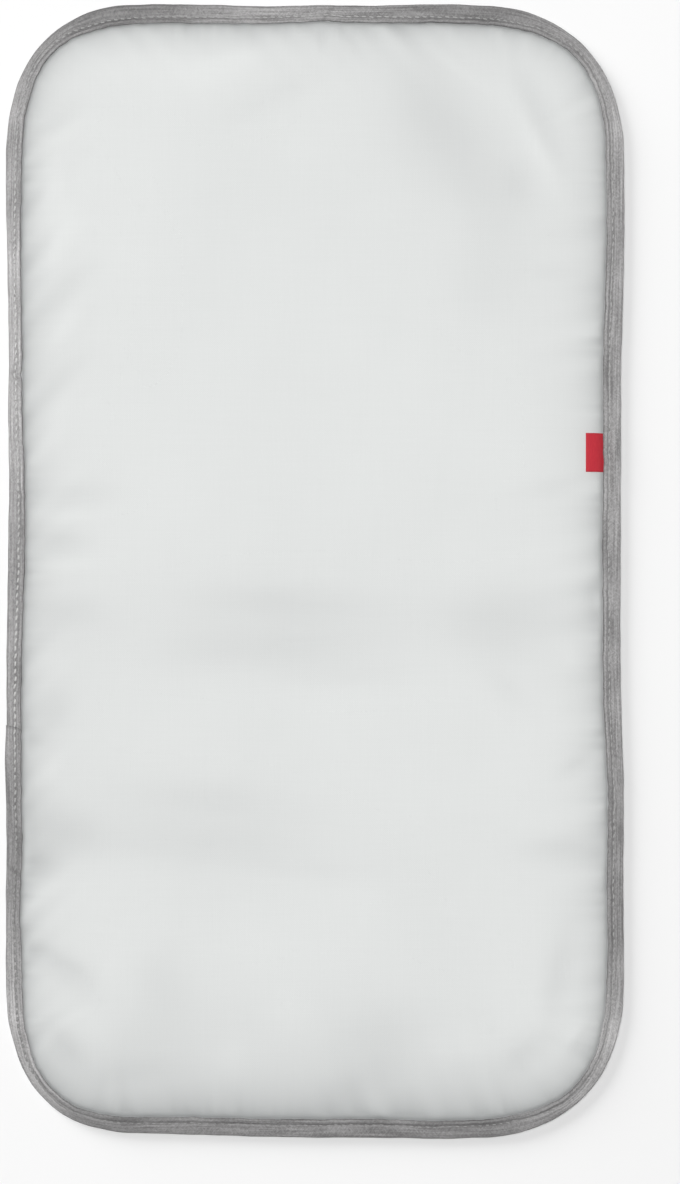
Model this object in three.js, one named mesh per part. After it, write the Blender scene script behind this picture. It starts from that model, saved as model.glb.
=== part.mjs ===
// A padded pressing cloth, lying on a table.
// Two cotton plies hold a sheet of wadding. A folded tape binds the edge all round and laps over
// its own start, one row of lockstitch sews through tape and plies, and a folded ribbon label is
// caught in that seam. Millimetres: X runs across the cloth, Y along it and Z up from the table.

import * as THREE from "three";

// Outline, over the bound edges
const clothWidth = 400;
const clothLength = 732.6;
const cornerRadiusLeft = 84;
const cornerRadiusRight = 91;
const stationStep = 25; // spacing of the cross-sections along the straight edges
const cornerSteps = 8; // cross-sections round each corner

// Plies and wadding
const plyThickness = 0.4;
const waddingLoft = 15.5; // in the open field
const waddingPressed = 0.8; // where the binding grips it
const layerGap = 0.2; // between layers that lie on each other
const crownReach = 40; // from the binding to where the face is level
const crownReachFoot = 60; // the same along the foot of the cloth, which swells more slowly
const crownFullness = 3.6; // how steeply the face leaves the binding
const crownRings = [0.12, 0.3, 0.55, 1]; // rings on the face, as shares of its reach
const underReach = 20; // from the binding to where the back lies on the table
const underRings = [0.35, 1]; // rings on the back, as shares of its reach

// Binding tape, with its edges turned under so that each leg is double
const tapeThickness = 0.25;
const bindingWidths = { left: 9.8, top: 11.8, right: 11.5, bottom: 11.6 }; // of the face leg
const lipRound = 0.2; // turned edge of each leg
const lapEnd = -100; // Y of the tape's top end, on the left edge
const lapLength = 22; // length of tape that lies double there
const lapRamp = 16; // length in which the tape climbs over its own start
const lapClear = 1.5; // from the top of that climb to the hidden start

// Lockstitch
const threadDiameter = 0.4;
const threadSides = 6;
const stitchInset = 4; // from the inner edge of the binding
const stitchGroove = 0.25; // depth to which the stitches draw the tape in
const stitchGrooveWidth = 1.8;
const threadStep = 4; // length in which the thread comes down from the lap
const tableGap = 1.5; // between the lowest thread and the table

// Ribbon label, folded in two, on the right edge
const labelY = 76.5; // middle of the label
const labelWidth = 25; // along the edge
const labelLength = 11.7; // out of the binding
const ribbonThickness = 0.25;
const labelTuck = 2.5; // past the stitches, inside the seam
const labelRoot = 1.2; // from the binding to where the label bends
const labelHingeGap = 0.3;
const labelRamp = 11; // length in which the binding climbs over the label

// Drawn-in edges: [share of the straight edge, inset], each edge followed clockwise
const edgeInsets = {
  left: [[0, 1.7], [0.03, 0.9], [0.135, 0.9], [0.18, 1.5], [0.25, 0.5], [0.45, 1.7], [0.6, 3],
    [0.685, 2.3], [0.75, 2.9], [0.93, 0.9], [1, 1.8]],
  top: [[0, 0.6], [0.075, 0], [0.19, 0.5], [0.39, 1.5], [0.53, 0.6], [0.62, 1.1], [0.88, 0.1],
    [1, 1.2]],
  right: [[0, 0.4], [0.03, 0.1], [0.125, 0.1], [0.24, 2], [0.45, 2.4], [0.6, 2.7], [0.745, 0.5],
    [0.875, 0.9], [1, 0.8]],
  bottom: [[0, 1.1], [0.12, 0], [0.35, 1], [0.47, 0.8], [0.7, 2], [1, 4]],
};

// Drawn-in corners: [share of the turn, inset], for the corner after each edge
const cornerInsets = {
  left: [[0, 1.8], [0.17, 2.8], [0.33, 1.3], [0.5, 0.3], [0.67, 0], [1, 0.6]],
  top: [[0, 1.2], [0.33, 0.4], [0.5, -0.3], [0.67, 0], [0.83, 1.2], [1, 0.4]],
  right: [[0, 0.8], [0.17, 1.3], [0.33, 0.1], [0.5, -0.2], [0.83, 0.9], [1, 1.1]],
  bottom: [[0, 4], [0.17, 3.7], [0.33, 1.6], [0.5, 1.4], [0.83, 3.1], [1, 1.7]],
};

const legThickness = 2 * tapeThickness;
const labelThickness = 2 * ribbonThickness;

// How far the binding climbs over its own start and over the label
const lapLift = legThickness + layerGap;
const labelLift = labelThickness + layerGap;

// Height of a thread's middle above the leg that it lies on
const threadRise = layerGap + threadDiameter / 2 - stitchGroove;

// Levels inside the binding, from the table up
const bindingLift = tableGap + threadDiameter / 2 + threadRise + lapLift;
const backLow = bindingLift + legThickness + layerGap;
const waddingLow = backLow + plyThickness + layerGap;
const faceLow = waddingLow + waddingPressed + layerGap;
const faceHigh = faceLow + plyThickness;
const bindingTop = faceHigh + layerGap + legThickness;
const foldRadius = (bindingTop - bindingLift) / 2;

// Levels in the open field, from the table up
const fieldWaddingLow = plyThickness + layerGap;
const fieldFaceLow = fieldWaddingLow + waddingLoft + layerGap;
const fieldFaceHigh = fieldFaceLow + plyThickness;

const smooth = (t) => t * t * (3 - 2 * t);
const clamp01 = (t) => Math.min(1, Math.max(0, t));
const mix = THREE.MathUtils.lerp;

// Value at a share along an edge or a turn, eased from one listed pair to the next.
function easedValue(pairs, share) {
  const next = Math.max(1, pairs.findIndex(([at]) => at >= share));
  const [startAt, startValue] = pairs[next - 1];
  const [endAt, endValue] = pairs[next];
  return mix(startValue, endValue, smooth(clamp01((share - startAt) / (endAt - startAt))));
}

// Distances along an edge for its cross-sections: even steps, and the marked ones exactly.
function edgeDistances(length, marks) {
  const steps = Math.ceil(length / stationStep);
  const even = Array.from({ length: steps + 1 }, (_, i) => (length * i) / steps);
  const isEnd = (at) => at === 0 || at === length;
  const clearOfMarks = (at) => marks.every((mark) => Math.abs(mark - at) > stationStep / 4);
  const kept = even.filter((at) => isEnd(at) || clearOfMarks(at));
  return [...kept, ...marks].sort((a, b) => a - b);
}

// Cross-sections round the outline, clockwise from the foot of the left edge. Each one has its
// point on the outer edge, the direction inwards, and the width of the binding there.
function outlineStations() {
  const x = clothWidth / 2;
  const y = clothLength / 2;
  const left = cornerRadiusLeft;
  const right = cornerRadiusRight;
  const lapMarks = [lapEnd - lapLength - lapClear - lapRamp, lapEnd - lapLength - lapClear,
    lapEnd - lapLength, lapEnd, lapEnd + threadStep];
  const labelMarks = [labelWidth / 2 + labelRamp, labelWidth / 2 + layerGap,
    -labelWidth / 2 - layerGap, -labelWidth / 2 - labelRamp];
  const edges = [
    { name: "left", from: [-x, left - y], to: [-x, y - left], inwards: [1, 0],
      width: bindingWidths.left, turn: left, marks: lapMarks.map((at) => at + y - left) },
    { name: "top", from: [left - x, y], to: [x - right, y], inwards: [0, -1],
      width: bindingWidths.top, turn: right, marks: [] },
    { name: "right", from: [x, y - right], to: [x, right - y], inwards: [-1, 0],
      width: bindingWidths.right, turn: right,
      marks: labelMarks.map((at) => y - right - labelY - at) },
    { name: "bottom", from: [x - right, -y], to: [left - x, -y], inwards: [0, 1],
      width: bindingWidths.bottom, turn: left, marks: [] },
  ];
  const stations = [];
  const add = (edge, px, py, inwards, inset, width) =>
    stations.push({ edge, x: px + inwards[0] * inset, y: py + inwards[1] * inset, inwards, width });

  edges.forEach((edge, i) => {
    const next = edges[(i + 1) % edges.length];
    const length = Math.hypot(edge.to[0] - edge.from[0], edge.to[1] - edge.from[1]);
    for (const at of edgeDistances(length, edge.marks)) {
      const px = mix(edge.from[0], edge.to[0], at / length);
      const py = mix(edge.from[1], edge.to[1], at / length);
      const inset = easedValue(edgeInsets[edge.name], at / length);
      add(edge.name, px, py, edge.inwards, inset, edge.width);
    }
    const centre = [0, 1].map((axis) => edge.to[axis] + edge.inwards[axis] * edge.turn);
    const startAngle = Math.atan2(-edge.inwards[1], -edge.inwards[0]);
    for (let step = 1; step < cornerSteps; step += 1) {
      const share = step / cornerSteps;
      const angle = startAngle - (share * Math.PI) / 2;
      const out = [Math.cos(angle), Math.sin(angle)];
      const inset = easedValue(cornerInsets[edge.name], share);
      add("corner", centre[0] + out[0] * edge.turn, centre[1] + out[1] * edge.turn,
        [-out[0], -out[1]], inset, mix(edge.width, next.width, smooth(share)));
    }
  });
  return stations;
}

// A point at a distance in from the outer edge of a cross-section, at a height.
function place(station, inset, z) {
  const [nx, ny] = station.inwards;
  return new THREE.Vector3(station.x + nx * inset, station.y + ny * inset, z);
}

// Extra height of the binding's face leg where it passes over the label.
function climbOverLabel(station) {
  if (station.edge !== "right") return 0;
  const beyond = Math.abs(station.y - labelY) - labelWidth / 2 - layerGap;
  return labelLift * smooth(1 - clamp01(beyond / (labelRamp - layerGap)));
}

// Points and the triangles between them as a mesh geometry.
function geometryFrom(points, triangles) {
  const positions = points.flatMap((p) => [p.x, p.y, p.z]);
  const geometry = new THREE.BufferGeometry();
  geometry.setAttribute("position", new THREE.Float32BufferAttribute(positions, 3));
  geometry.setIndex(triangles);
  geometry.computeVertexNormals();
  return geometry;
}

// Triangles between neighbouring rows of equal length.
function joinRows(rowCount, rowLength, closedRows, closedRow) {
  const triangles = [];
  const rowEnd = closedRows ? rowCount : rowCount - 1;
  const pointEnd = closedRow ? rowLength : rowLength - 1;
  for (let row = 0; row < rowEnd; row += 1) {
    for (let point = 0; point < pointEnd; point += 1) {
      const nextRow = (row + 1) % rowCount;
      const nextPoint = (point + 1) % rowLength;
      const a = row * rowLength + point;
      const b = nextRow * rowLength + point;
      const c = nextRow * rowLength + nextPoint;
      const d = row * rowLength + nextPoint;
      triangles.push(a, c, b, a, d, c);
    }
  }
  return triangles;
}

// A sheet with thickness: rings of points on its underside and face, from an inner ring out to
// the raw edge and back, closed by a fan from the middle on each side.
function sheetGeometry(stations, underside, face) {
  const rows = stations.map((station) => [
    ...underside.map(([inset, z]) => place(station, inset(station), z)).reverse(),
    ...face.map(([inset, z]) => place(station, inset(station), z)),
  ]);
  const rowLength = rows[0].length;
  const points = rows.flat();
  const triangles = joinRows(rows.length, rowLength, true, false);
  const middleLow = points.push(new THREE.Vector3(0, 0, underside.at(-1)[1])) - 1;
  const middleHigh = points.push(new THREE.Vector3(0, 0, face.at(-1)[1])) - 1;
  for (let row = 0; row < rows.length; row += 1) {
    const nextRow = (row + 1) % rows.length;
    const low = [row * rowLength, nextRow * rowLength];
    const high = [row * rowLength + rowLength - 1, nextRow * rowLength + rowLength - 1];
    triangles.push(middleLow, low[0], low[1], middleHigh, high[1], high[0]);
  }
  return geometryFrom(points, triangles);
}

const rawEdge = () => foldRadius + layerGap;
const crownRise = (share) => 1 - (1 - share) ** crownFullness;
const footShare = (station) => Math.max(0, station.inwards[1]) ** 2;
const crownReachAt = (station) => mix(crownReach, crownReachFoot, footShare(station));
const underReachAt = () => underReach;

// Rings of a surface that is level inside the binding and reaches another level in the field,
// each as [inset at a cross-section, height].
function surfaceRings(levelInside, levelInField, reachAt, shares, rise) {
  const leavingBinding = shares.map((share) => [
    (station) => station.width + share * reachAt(station),
    mix(levelInside, levelInField, rise(share)),
  ]);
  return [[rawEdge, levelInside], [(station) => station.width, levelInside], ...leavingBinding];
}

function crownSurface(levelInside, levelInField) {
  return surfaceRings(levelInside, levelInField, crownReachAt, crownRings, crownRise);
}

function underSurface(levelInside, levelInField) {
  return surfaceRings(levelInside, levelInField, underReachAt, underRings, smooth);
}

function faceClothGeometry(stations) {
  const underside = crownSurface(faceLow, fieldFaceLow);
  const face = crownSurface(faceHigh, fieldFaceHigh);
  return sheetGeometry(stations, underside, face);
}

function waddingGeometry(stations) {
  const underside = underSurface(waddingLow, fieldWaddingLow);
  const face = crownSurface(waddingLow + waddingPressed, fieldWaddingLow + waddingLoft);
  return sheetGeometry(stations, underside, face);
}

function backClothGeometry(stations) {
  const underside = underSurface(backLow, 0);
  const face = underSurface(backLow + plyThickness, plyThickness);
  return sheetGeometry(stations, underside, face);
}

// Outline of the folded tape at one cross-section, as [inset, height]: under leg, fold, face leg,
// then back along the inside. Lap is how far it is spread to pass over the tape's own start.
function tapeSection(station, lap) {
  const top = bindingTop + climbOverLabel(station) + lap;
  const low = bindingLift - lap;
  const middle = (top + low) / 2;
  const lip = station.width - lipRound;
  const stitch = station.width - stitchInset;
  const groove = stitchGrooveWidth / 2;
  const foldArc = (wall) => [-2, -1, 0, 1, 2].map((eighth) => [
    foldRadius - (foldRadius + lap - wall) * Math.cos((eighth * Math.PI) / 4),
    middle + ((top - low) / 2 - wall) * Math.sin((eighth * Math.PI) / 4),
  ]);
  const underLeg = [[lip, low + legThickness], [station.width, low + legThickness / 2], [lip, low],
    [stitch + groove, low], [stitch, low + stitchGroove], [stitch - groove, low]];
  const faceLeg = [[stitch - groove, top], [stitch, top - stitchGroove], [stitch + groove, top],
    [lip, top], [station.width, top - legThickness / 2], [lip, top - legThickness]];
  return [...underLeg, ...foldArc(0), ...faceLeg, ...foldArc(legThickness).reverse()];
}

// Share of the tape's climb over its own start, below and up to the lap on the left edge.
function lapClimb(station) {
  const climbStart = lapEnd - lapLength - lapClear - lapRamp;
  return clamp01((station.y - climbStart) / lapRamp);
}

// The strip of tape: it starts at the hidden end on the left edge, goes once round, climbs over
// its own start and stops at the lap's end.
function bindingGeometry(stations) {
  const atY = (y) => stations.findIndex((s) => s.edge === "left" && Math.abs(s.y - y) < 1e-6);
  const start = atY(lapEnd - lapLength);
  const end = atY(lapEnd);
  const firstLap = stations.slice(start).map((station) => [station, 0]);
  const lastLap = stations.slice(0, end + 1);
  const strip = [...firstLap, ...lastLap.map((station) => [station, lapLift * lapClimb(station)])];
  const sections = strip.map(([station, lap]) => tapeSection(station, lap));
  const rowLength = sections[0].length;
  const points = sections.flatMap((section, i) =>
    section.map(([inset, z]) => place(strip[i][0], inset, z)));
  const triangles = joinRows(strip.length, rowLength, false, true);
  const lastRow = (strip.length - 1) * rowLength;
  const flat = (section) => section.map(([inset, z]) => new THREE.Vector2(inset, z));
  for (const [a, b, c] of THREE.ShapeUtils.triangulateShape(flat(sections[0]), [])) {
    triangles.push(a, b, c);
  }
  for (const [a, b, c] of THREE.ShapeUtils.triangulateShape(flat(sections.at(-1)), [])) {
    triangles.push(lastRow + a, lastRow + c, lastRow + b);
  }
  return geometryFrom(points, triangles);
}

// How far the surface that the thread lies on is spread by the lap.
function lapUnderThread(station) {
  if (station.edge !== "left") return 0;
  const descent = clamp01((station.y - lapEnd) / threadStep);
  return lapLift * Math.min(lapClimb(station), 1 - descent);
}

// One thread of the lockstitch, as the closed run that shows on one side of the binding.
function threadGeometry(stations, heightAt) {
  const radius = threadDiameter / 2;
  const rows = stations.map((station) => {
    const z = heightAt(station);
    return Array.from({ length: threadSides }, (_, side) => {
      const angle = (-side * 2 * Math.PI) / threadSides;
      const inset = station.width - stitchInset + radius * Math.cos(angle);
      return place(station, inset, z + radius * Math.sin(angle));
    });
  });
  return geometryFrom(rows.flat(), joinRows(rows.length, threadSides, true, true));
}

function needleThreadGeometry(stations) {
  return threadGeometry(stations, (station) =>
    bindingTop + climbOverLabel(station) + lapUnderThread(station) + threadRise);
}

function bobbinThreadGeometry(stations) {
  return threadGeometry(stations, (station) =>
    bindingLift - lapUnderThread(station) - threadRise);
}

// Height of the face cloth at a distance in from the binding's inner edge.
function faceHeight(fromBinding) {
  const stops = [[0, faceHigh], ...crownRings.map((share) =>
    [share * crownReach, mix(faceHigh, fieldFaceHigh, crownRise(share))])];
  const next = Math.max(1, stops.findIndex(([at]) => at >= fromBinding));
  const [startAt, startHeight] = stops[next - 1];
  const [endAt, endHeight] = stops[next];
  const share = Math.max(0, (fromBinding - startAt) / (endAt - startAt));
  return mix(startHeight, endHeight, share);
}

// A stretch of the folded ribbon lying on the face cloth, between two distances from the binding.
function ribbonGeometry(bindingX, from, to) {
  const rings = [0, ...crownRings.map((share) => share * crownReach)];
  const stops = [from, ...rings.filter((at) => at > from && at < to), to];
  const underside = stops.map((at) => new THREE.Vector2(bindingX - at, faceHeight(at) + layerGap));
  const upside = underside.map((p) => new THREE.Vector2(p.x, p.y + labelThickness)).reverse();
  const outline = new THREE.Shape([...underside, ...upside]);
  const geometry = new THREE.ExtrudeGeometry(outline, { depth: labelWidth, bevelEnabled: false });
  geometry.rotateX(Math.PI / 2); // from drawing in XY to standing in XZ, along -Y
  return geometry.translate(0, labelY + labelWidth / 2, 0);
}

function piece(name, geometry, color, roughness) {
  const material = new THREE.MeshStandardMaterial({ color, roughness, metalness: 0 });
  const mesh = new THREE.Mesh(geometry, material);
  mesh.name = name;
  return mesh;
}

const cottonWhite = 0xe6e8e7;
const cottonBack = 0xe2e4e3;
const waddingWhite = 0xf2f2ee;
const tapeGrey = 0x979596;
const threadGrey = 0xb9b7b7;
const ribbonRed = 0xc0333f;

const stations = outlineStations();
const labelEdge = stations.find((s) => s.edge === "right" && s.y < labelY);
const bindingX = labelEdge.x - labelEdge.width; // inner edge of the binding at the label

const tailGeometry = ribbonGeometry(bindingX, -stitchInset - labelTuck, labelRoot);
const flapGeometry = ribbonGeometry(bindingX, labelRoot + labelHingeGap, labelLength);

const cloth = new THREE.Group();
cloth.add(
  piece("face_cloth", faceClothGeometry(stations), cottonWhite, 0.9),
  piece("wadding", waddingGeometry(stations), waddingWhite, 1),
  piece("back_cloth", backClothGeometry(stations), cottonBack, 0.9),
  piece("edge_binding", bindingGeometry(stations), tapeGrey, 0.6),
  piece("needle_thread", needleThreadGeometry(stations), threadGrey, 0.5),
  piece("bobbin_thread", bobbinThreadGeometry(stations), threadGrey, 0.5),
  piece("label_tail", tailGeometry, ribbonRed, 0.6),
  piece("label_flap", flapGeometry, ribbonRed, 0.6),
);

// The origin is the middle of the cloth's box, on the table.
const middle = new THREE.Box3().setFromObject(cloth).getCenter(new THREE.Vector3());
cloth.position.set(-middle.x, -middle.y, 0);

const pressingCloth = new THREE.Group();
pressingCloth.add(cloth);

export default pressingCloth;
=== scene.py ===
import bpy
import numpy as np
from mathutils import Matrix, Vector


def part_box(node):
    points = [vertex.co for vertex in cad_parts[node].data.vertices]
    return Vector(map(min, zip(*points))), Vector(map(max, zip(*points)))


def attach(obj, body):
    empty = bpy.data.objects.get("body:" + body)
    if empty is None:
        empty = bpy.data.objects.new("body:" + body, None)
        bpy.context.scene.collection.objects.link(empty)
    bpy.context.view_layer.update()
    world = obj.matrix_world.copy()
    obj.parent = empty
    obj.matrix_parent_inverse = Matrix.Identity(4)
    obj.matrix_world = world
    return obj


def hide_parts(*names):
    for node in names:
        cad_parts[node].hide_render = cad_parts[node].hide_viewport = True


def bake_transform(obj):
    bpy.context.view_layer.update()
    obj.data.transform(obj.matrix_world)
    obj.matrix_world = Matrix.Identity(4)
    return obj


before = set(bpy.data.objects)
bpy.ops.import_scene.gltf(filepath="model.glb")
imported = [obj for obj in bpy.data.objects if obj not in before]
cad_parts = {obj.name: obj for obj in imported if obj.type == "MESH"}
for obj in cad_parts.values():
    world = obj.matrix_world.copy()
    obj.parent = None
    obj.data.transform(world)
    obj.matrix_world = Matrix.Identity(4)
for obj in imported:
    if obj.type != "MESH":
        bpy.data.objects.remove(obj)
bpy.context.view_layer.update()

# A padded pressing cloth lying on a table: two cotton plies over wadding, a folded grey tape sewn round
# the edge, and a ribbon label caught in its seam. X runs across the cloth, Y along it, Z up.
# Lengths are millimetres until a mesh is made, which is in metres.

mm = 0.001


def eased(t):
    t = np.clip(t, 0, 1)
    return t * t * (3 - 2 * t)


def gridFaces(rows, cols, closedCols=False, flip=False):
    # quads between neighbouring rows and columns of a grid of points
    r = np.arange(rows - 1)[:, None]
    c = np.arange(cols if closedCols else cols - 1)[None, :]
    c2 = (c + 1) % cols
    quads = np.stack([r * cols + c, (r + 1) * cols + c, (r + 1) * cols + c2, r * cols + c2], -1).reshape(-1, 4)
    return (quads[:, ::-1] if flip else quads).tolist()


def stripFaces(rows, cols):
    # a strip whose rows are closed cross-sections: its sides and its two ends
    ends = [list(range(cols))[::-1], list(range((rows - 1) * cols, rows * cols))]
    return gridFaces(rows, cols, True, True) + ends


def makePiece(name, points, faces, uv=None):
    # mesh object from points in millimetres; uv holds one pair for each point
    mesh = bpy.data.meshes.new(name)
    mesh.from_pydata((np.asarray(points).reshape(-1, 3) * mm).tolist(), [], faces)
    mesh.shade_smooth()
    if uv is not None:
        corner = np.empty(len(mesh.loops), np.int32)
        mesh.loops.foreach_get("vertex_index", corner)
        layer = mesh.uv_layers.new(name="alongAcross")
        layer.data.foreach_set("uv", np.asarray(uv, np.float32).reshape(-1, 2)[corner].ravel())
    piece = bpy.data.objects.new(name, mesh)
    bpy.context.collection.objects.link(piece)
    return piece


def setAttribute(piece, name, values):
    # a number for each point of a piece, for its material
    attribute = piece.data.attributes.new(name, "FLOAT", "POINT")
    attribute.data.foreach_set("value", np.asarray(values, np.float32).ravel())


# Outline over the bound edge. The edge is drawn in by a few millimetres and wanders, and so does the width of
# the tape: (share of the straight edge, value) for each edge, followed clockwise, and (share of the turn, value)
# for the corner after it.
outline = dict(
    width=400.0, length=732.6, radiusLeft=84.0, radiusRight=91.0,
    smoothing=8.0,      # length over which the values below are smoothed
    lipWander=0.35,     # how far the tape's inner edge wanders besides
    insets=dict(
        left=((0, 1.7), (.03, .9), (.135, .9), (.18, 1.5), (.25, .7), (.29, 1.1), (.32, 1.2), (.36, 1.1), (.45, 1.7),
              (.54, 2.5), (.6, 3), (.685, 2.3), (.75, 2.9), (.82, 2.2), (.93, .9), (.985, .9)),
        leftCorner=((0, 1.8), (.167, 2.8), (.333, 1.3), (.5, .3), (.667, 0), (.833, .3)),
        top=((0, .6), (.075, 0), (.19, .5), (.36, 1.4), (.42, 1.5), (.53, .6), (.59, 1.1), (.7, 1), (.88, .1),
             (.94, .4)),
        topCorner=((0, 1.2), (.167, .9), (.333, .4), (.5, -.3), (.667, 0), (.833, 1.2)),
        right=((0, .4), (.03, .1), (.125, .1), (.19, .9), (.24, 2), (.29, 2.2), (.45, 2.4), (.6, 2.7), (.64, 2.3),
               (.7, 1.3), (.745, .5), (.8, .4), (.875, .9), (.92, .4), (.99, .4)),
        rightCorner=((0, .8), (.167, 1.3), (.333, .1), (.5, -.2), (.667, .5), (.833, .9)),
        foot=((0, 1.1), (.06, .4), (.12, 0), (.24, .6), (.35, 1), (.47, .8), (.58, 1.2), (.7, 2), (.81, 2.6),
              (.93, 3.4)),
        footCorner=((0, 4), (.167, 3.7), (.333, 1.6), (.5, 1.4), (.667, 2), (.833, 3.1))),
    tapeWidths=dict(
        left=((0, 10.4), (.05, 10.6), (.11, 9), (.17, 10.2), (.25, 10.2), (.32, 9.6), (.43, 10), (.5, 10.9),
              (.54, 10.9), (.6, 10.2), (.66, 9.6), (.72, 8.8), (.8, 8.6), (.87, 8.9), (.93, 10), (.99, 10.7)),
        leftCorner=((.12, 10.2), (.27, 10.1), (.42, 9.4), (.57, 9.7), (.72, 12), (.87, 13.3)),
        top=((.02, 12.5), (.19, 12.3), (.37, 11.5), (.5, 10.8), (.56, 10.7), (.64, 11.2), (.75, 11.9), (.9, 12.4)),
        topCorner=((0, 12.6), (.13, 12.9), (.27, 11.7), (.41, 9.8), (.55, 9.3), (.69, 10.2), (.83, 10.5)),
        right=((0, 11.9), (.08, 11.2), (.17, 11.8), (.3, 11.6), (.4, 11.3), (.46, 12), (.55, 11.2), (.66, 11.5),
               (.76, 10.2), (.87, 10.5), (.94, 10.3)),
        rightCorner=((0, 11.4), (.17, 10.8), (.31, 10.1), (.45, 9.2), (.59, 9.4), (.73, 11.2), (.87, 12.5)),
        foot=((0, 11.8), (.2, 11.7), (.28, 12.4), (.45, 12.2), (.65, 11.5), (.85, 11.6), (.99, 10.3)),
        footCorner=((.13, 10.2), (.28, 9.3), (.43, 8.6), (.58, 8.5), (.73, 9.1), (.89, 9.9))))

halfX, halfY = outline["width"] / 2, outline["length"] / 2
radL, radR = outline["radiusLeft"], outline["radiusRight"]
sides = [  # name, start, way along it, straight length, radius of the corner after it
    ("left", (-halfX, radL - halfY), (0, 1), 2 * (halfY - radL), radL),
    ("top", (radL - halfX, halfY), (1, 0), 2 * halfX - radL - radR, radR),
    ("right", (halfX, halfY - radR), (0, -1), 2 * (halfY - radR), radR),
    ("foot", (halfX - radR, -halfY), (-1, 0), 2 * halfX - radL - radR, radL)]
runStart = np.cumsum([0] + [side[3] + side[4] * np.pi / 2 for side in sides])
perimeter = runStart[-1]


# distance along the outline of a place on each edge
def leftRun(y):
    return y - (radL - halfY)


def topRun(x):
    return runStart[1] + x - (radL - halfX)


def rightRun(y):
    return runStart[2] + (halfY - radR) - y


def footRun(x):
    return runStart[3] + (halfX - radR) - x


def alongOutline(lists):
    # the listed values placed along the outline, joined and smoothed: one for each millimetre
    at, values = [], []
    for i, (name, start, way, straight, radius) in enumerate(sides):
        at += [runStart[i] + share * straight for share, _ in lists[name]]
        at += [runStart[i] + straight + share * radius * np.pi / 2 for share, _ in lists[name + "Corner"]]
        values += [value for _, value in lists[name] + lists[name + "Corner"]]
    plain = np.interp(np.arange(int(perimeter)), at, values, period=perimeter)
    reach = int(3 * outline["smoothing"])
    kernel = np.exp(-(np.arange(-reach, reach + 1) / outline["smoothing"]) ** 2)
    return np.convolve(np.concatenate([plain[-reach:], plain, plain[:reach]]), kernel / kernel.sum(), "valid")


insets, tapeWidths = alongOutline(outline["insets"]), alongOutline(outline["tapeWidths"])


def fromTable(s, table):
    return np.interp(s, np.arange(len(table)), table, period=perimeter)


def edgeAt(s):
    # outer edge at distances s along the plain rounded rectangle, clockwise from the foot of the left edge:
    # x, y, the direction inwards, and the width of the tape. Each side is a straight run and then an arc.
    s = np.mod(np.asarray(s, float), perimeter)
    out = np.zeros((5,) + s.shape)
    inset, width = fromTable(s, insets), fromTable(s, tapeWidths)
    for i, (name, start, way, straight, radius) in enumerate(sides):
        here = (s >= runStart[i]) & (s < runStart[i + 1])
        run = s[here] - runStart[i]
        turn = np.clip((run - straight) / (radius * np.pi / 2), 0, 1)
        run = np.minimum(run, straight)
        cos, sin = np.cos(turn * np.pi / 2), np.sin(turn * np.pi / 2)
        inX, inY = way[1] * cos - way[0] * sin, -way[0] * cos - way[1] * sin
        x = start[0] + way[0] * run + way[1] * radius - inX * (radius - inset[here])
        y = start[1] + way[1] * run - way[0] * radius - inY * (radius - inset[here])
        out[:, here] = x, y, inX, inY, width[here]
    return out


def waves(s, cycles, phases):
    # sines with whole numbers of cycles, so that they close round the outline
    return sum(np.sin(2 * np.pi * c * s / perimeter + p) for c, p in zip(cycles, phases)) / len(cycles)


def ringDistance(s, at):
    # signed distance along the outline from a place on it, the short way round
    return np.mod(s - at + perimeter / 2, perimeter) - perimeter / 2


def bells(s, places, which):
    # sum of bells along the outline; each place has its distance along it, its half length and then its heights
    return sum(place[which] * np.exp(-(ringDistance(s, place[0]) / place[1]) ** 2) for place in places)


# Levels where the tape grips the plies, and in the open field, from the solids
ply, layerGap, tapeLeg = 0.4, 0.2, 0.5
faceLow, fieldHigh = (corner[2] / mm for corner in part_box("face_cloth"))
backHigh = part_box("back_cloth")[1][2] / mm
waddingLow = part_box("wadding")[0][2] / mm
faceHigh, backLow = faceLow + ply, backHigh - ply
tapeTop, tapeLow = faceHigh + layerGap + tapeLeg, backLow - layerGap - tapeLeg
foldRadius = (tapeTop - tapeLow) / 2
stitchInset = 4.0       # from the tape's inner edge to its row of stitches

label = dict(
    y=76.5,                 # middle of the label on the right edge
    width=25.0,             # along the edge
    reach=11.7,             # out of the tape
    tuck=6.5,               # inside the seam
    ribbon=0.22,            # thickness of one layer
    foldGap=0.03,           # half the gap between its two layers
    climb=0.7, ramp=11.0,   # how far the tape climbs over it, and in what length
    curl=0.5)               # how far its free end stands off the cloth


def overLabel(x, y):
    # 1 where the tape passes over the label, easing to 0 beside it
    beyond = np.abs(y - label["y"]) - label["width"] / 2 - layerGap
    return (1 - eased(beyond / (label["ramp"] - layerGap))) * (x > 0)


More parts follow.
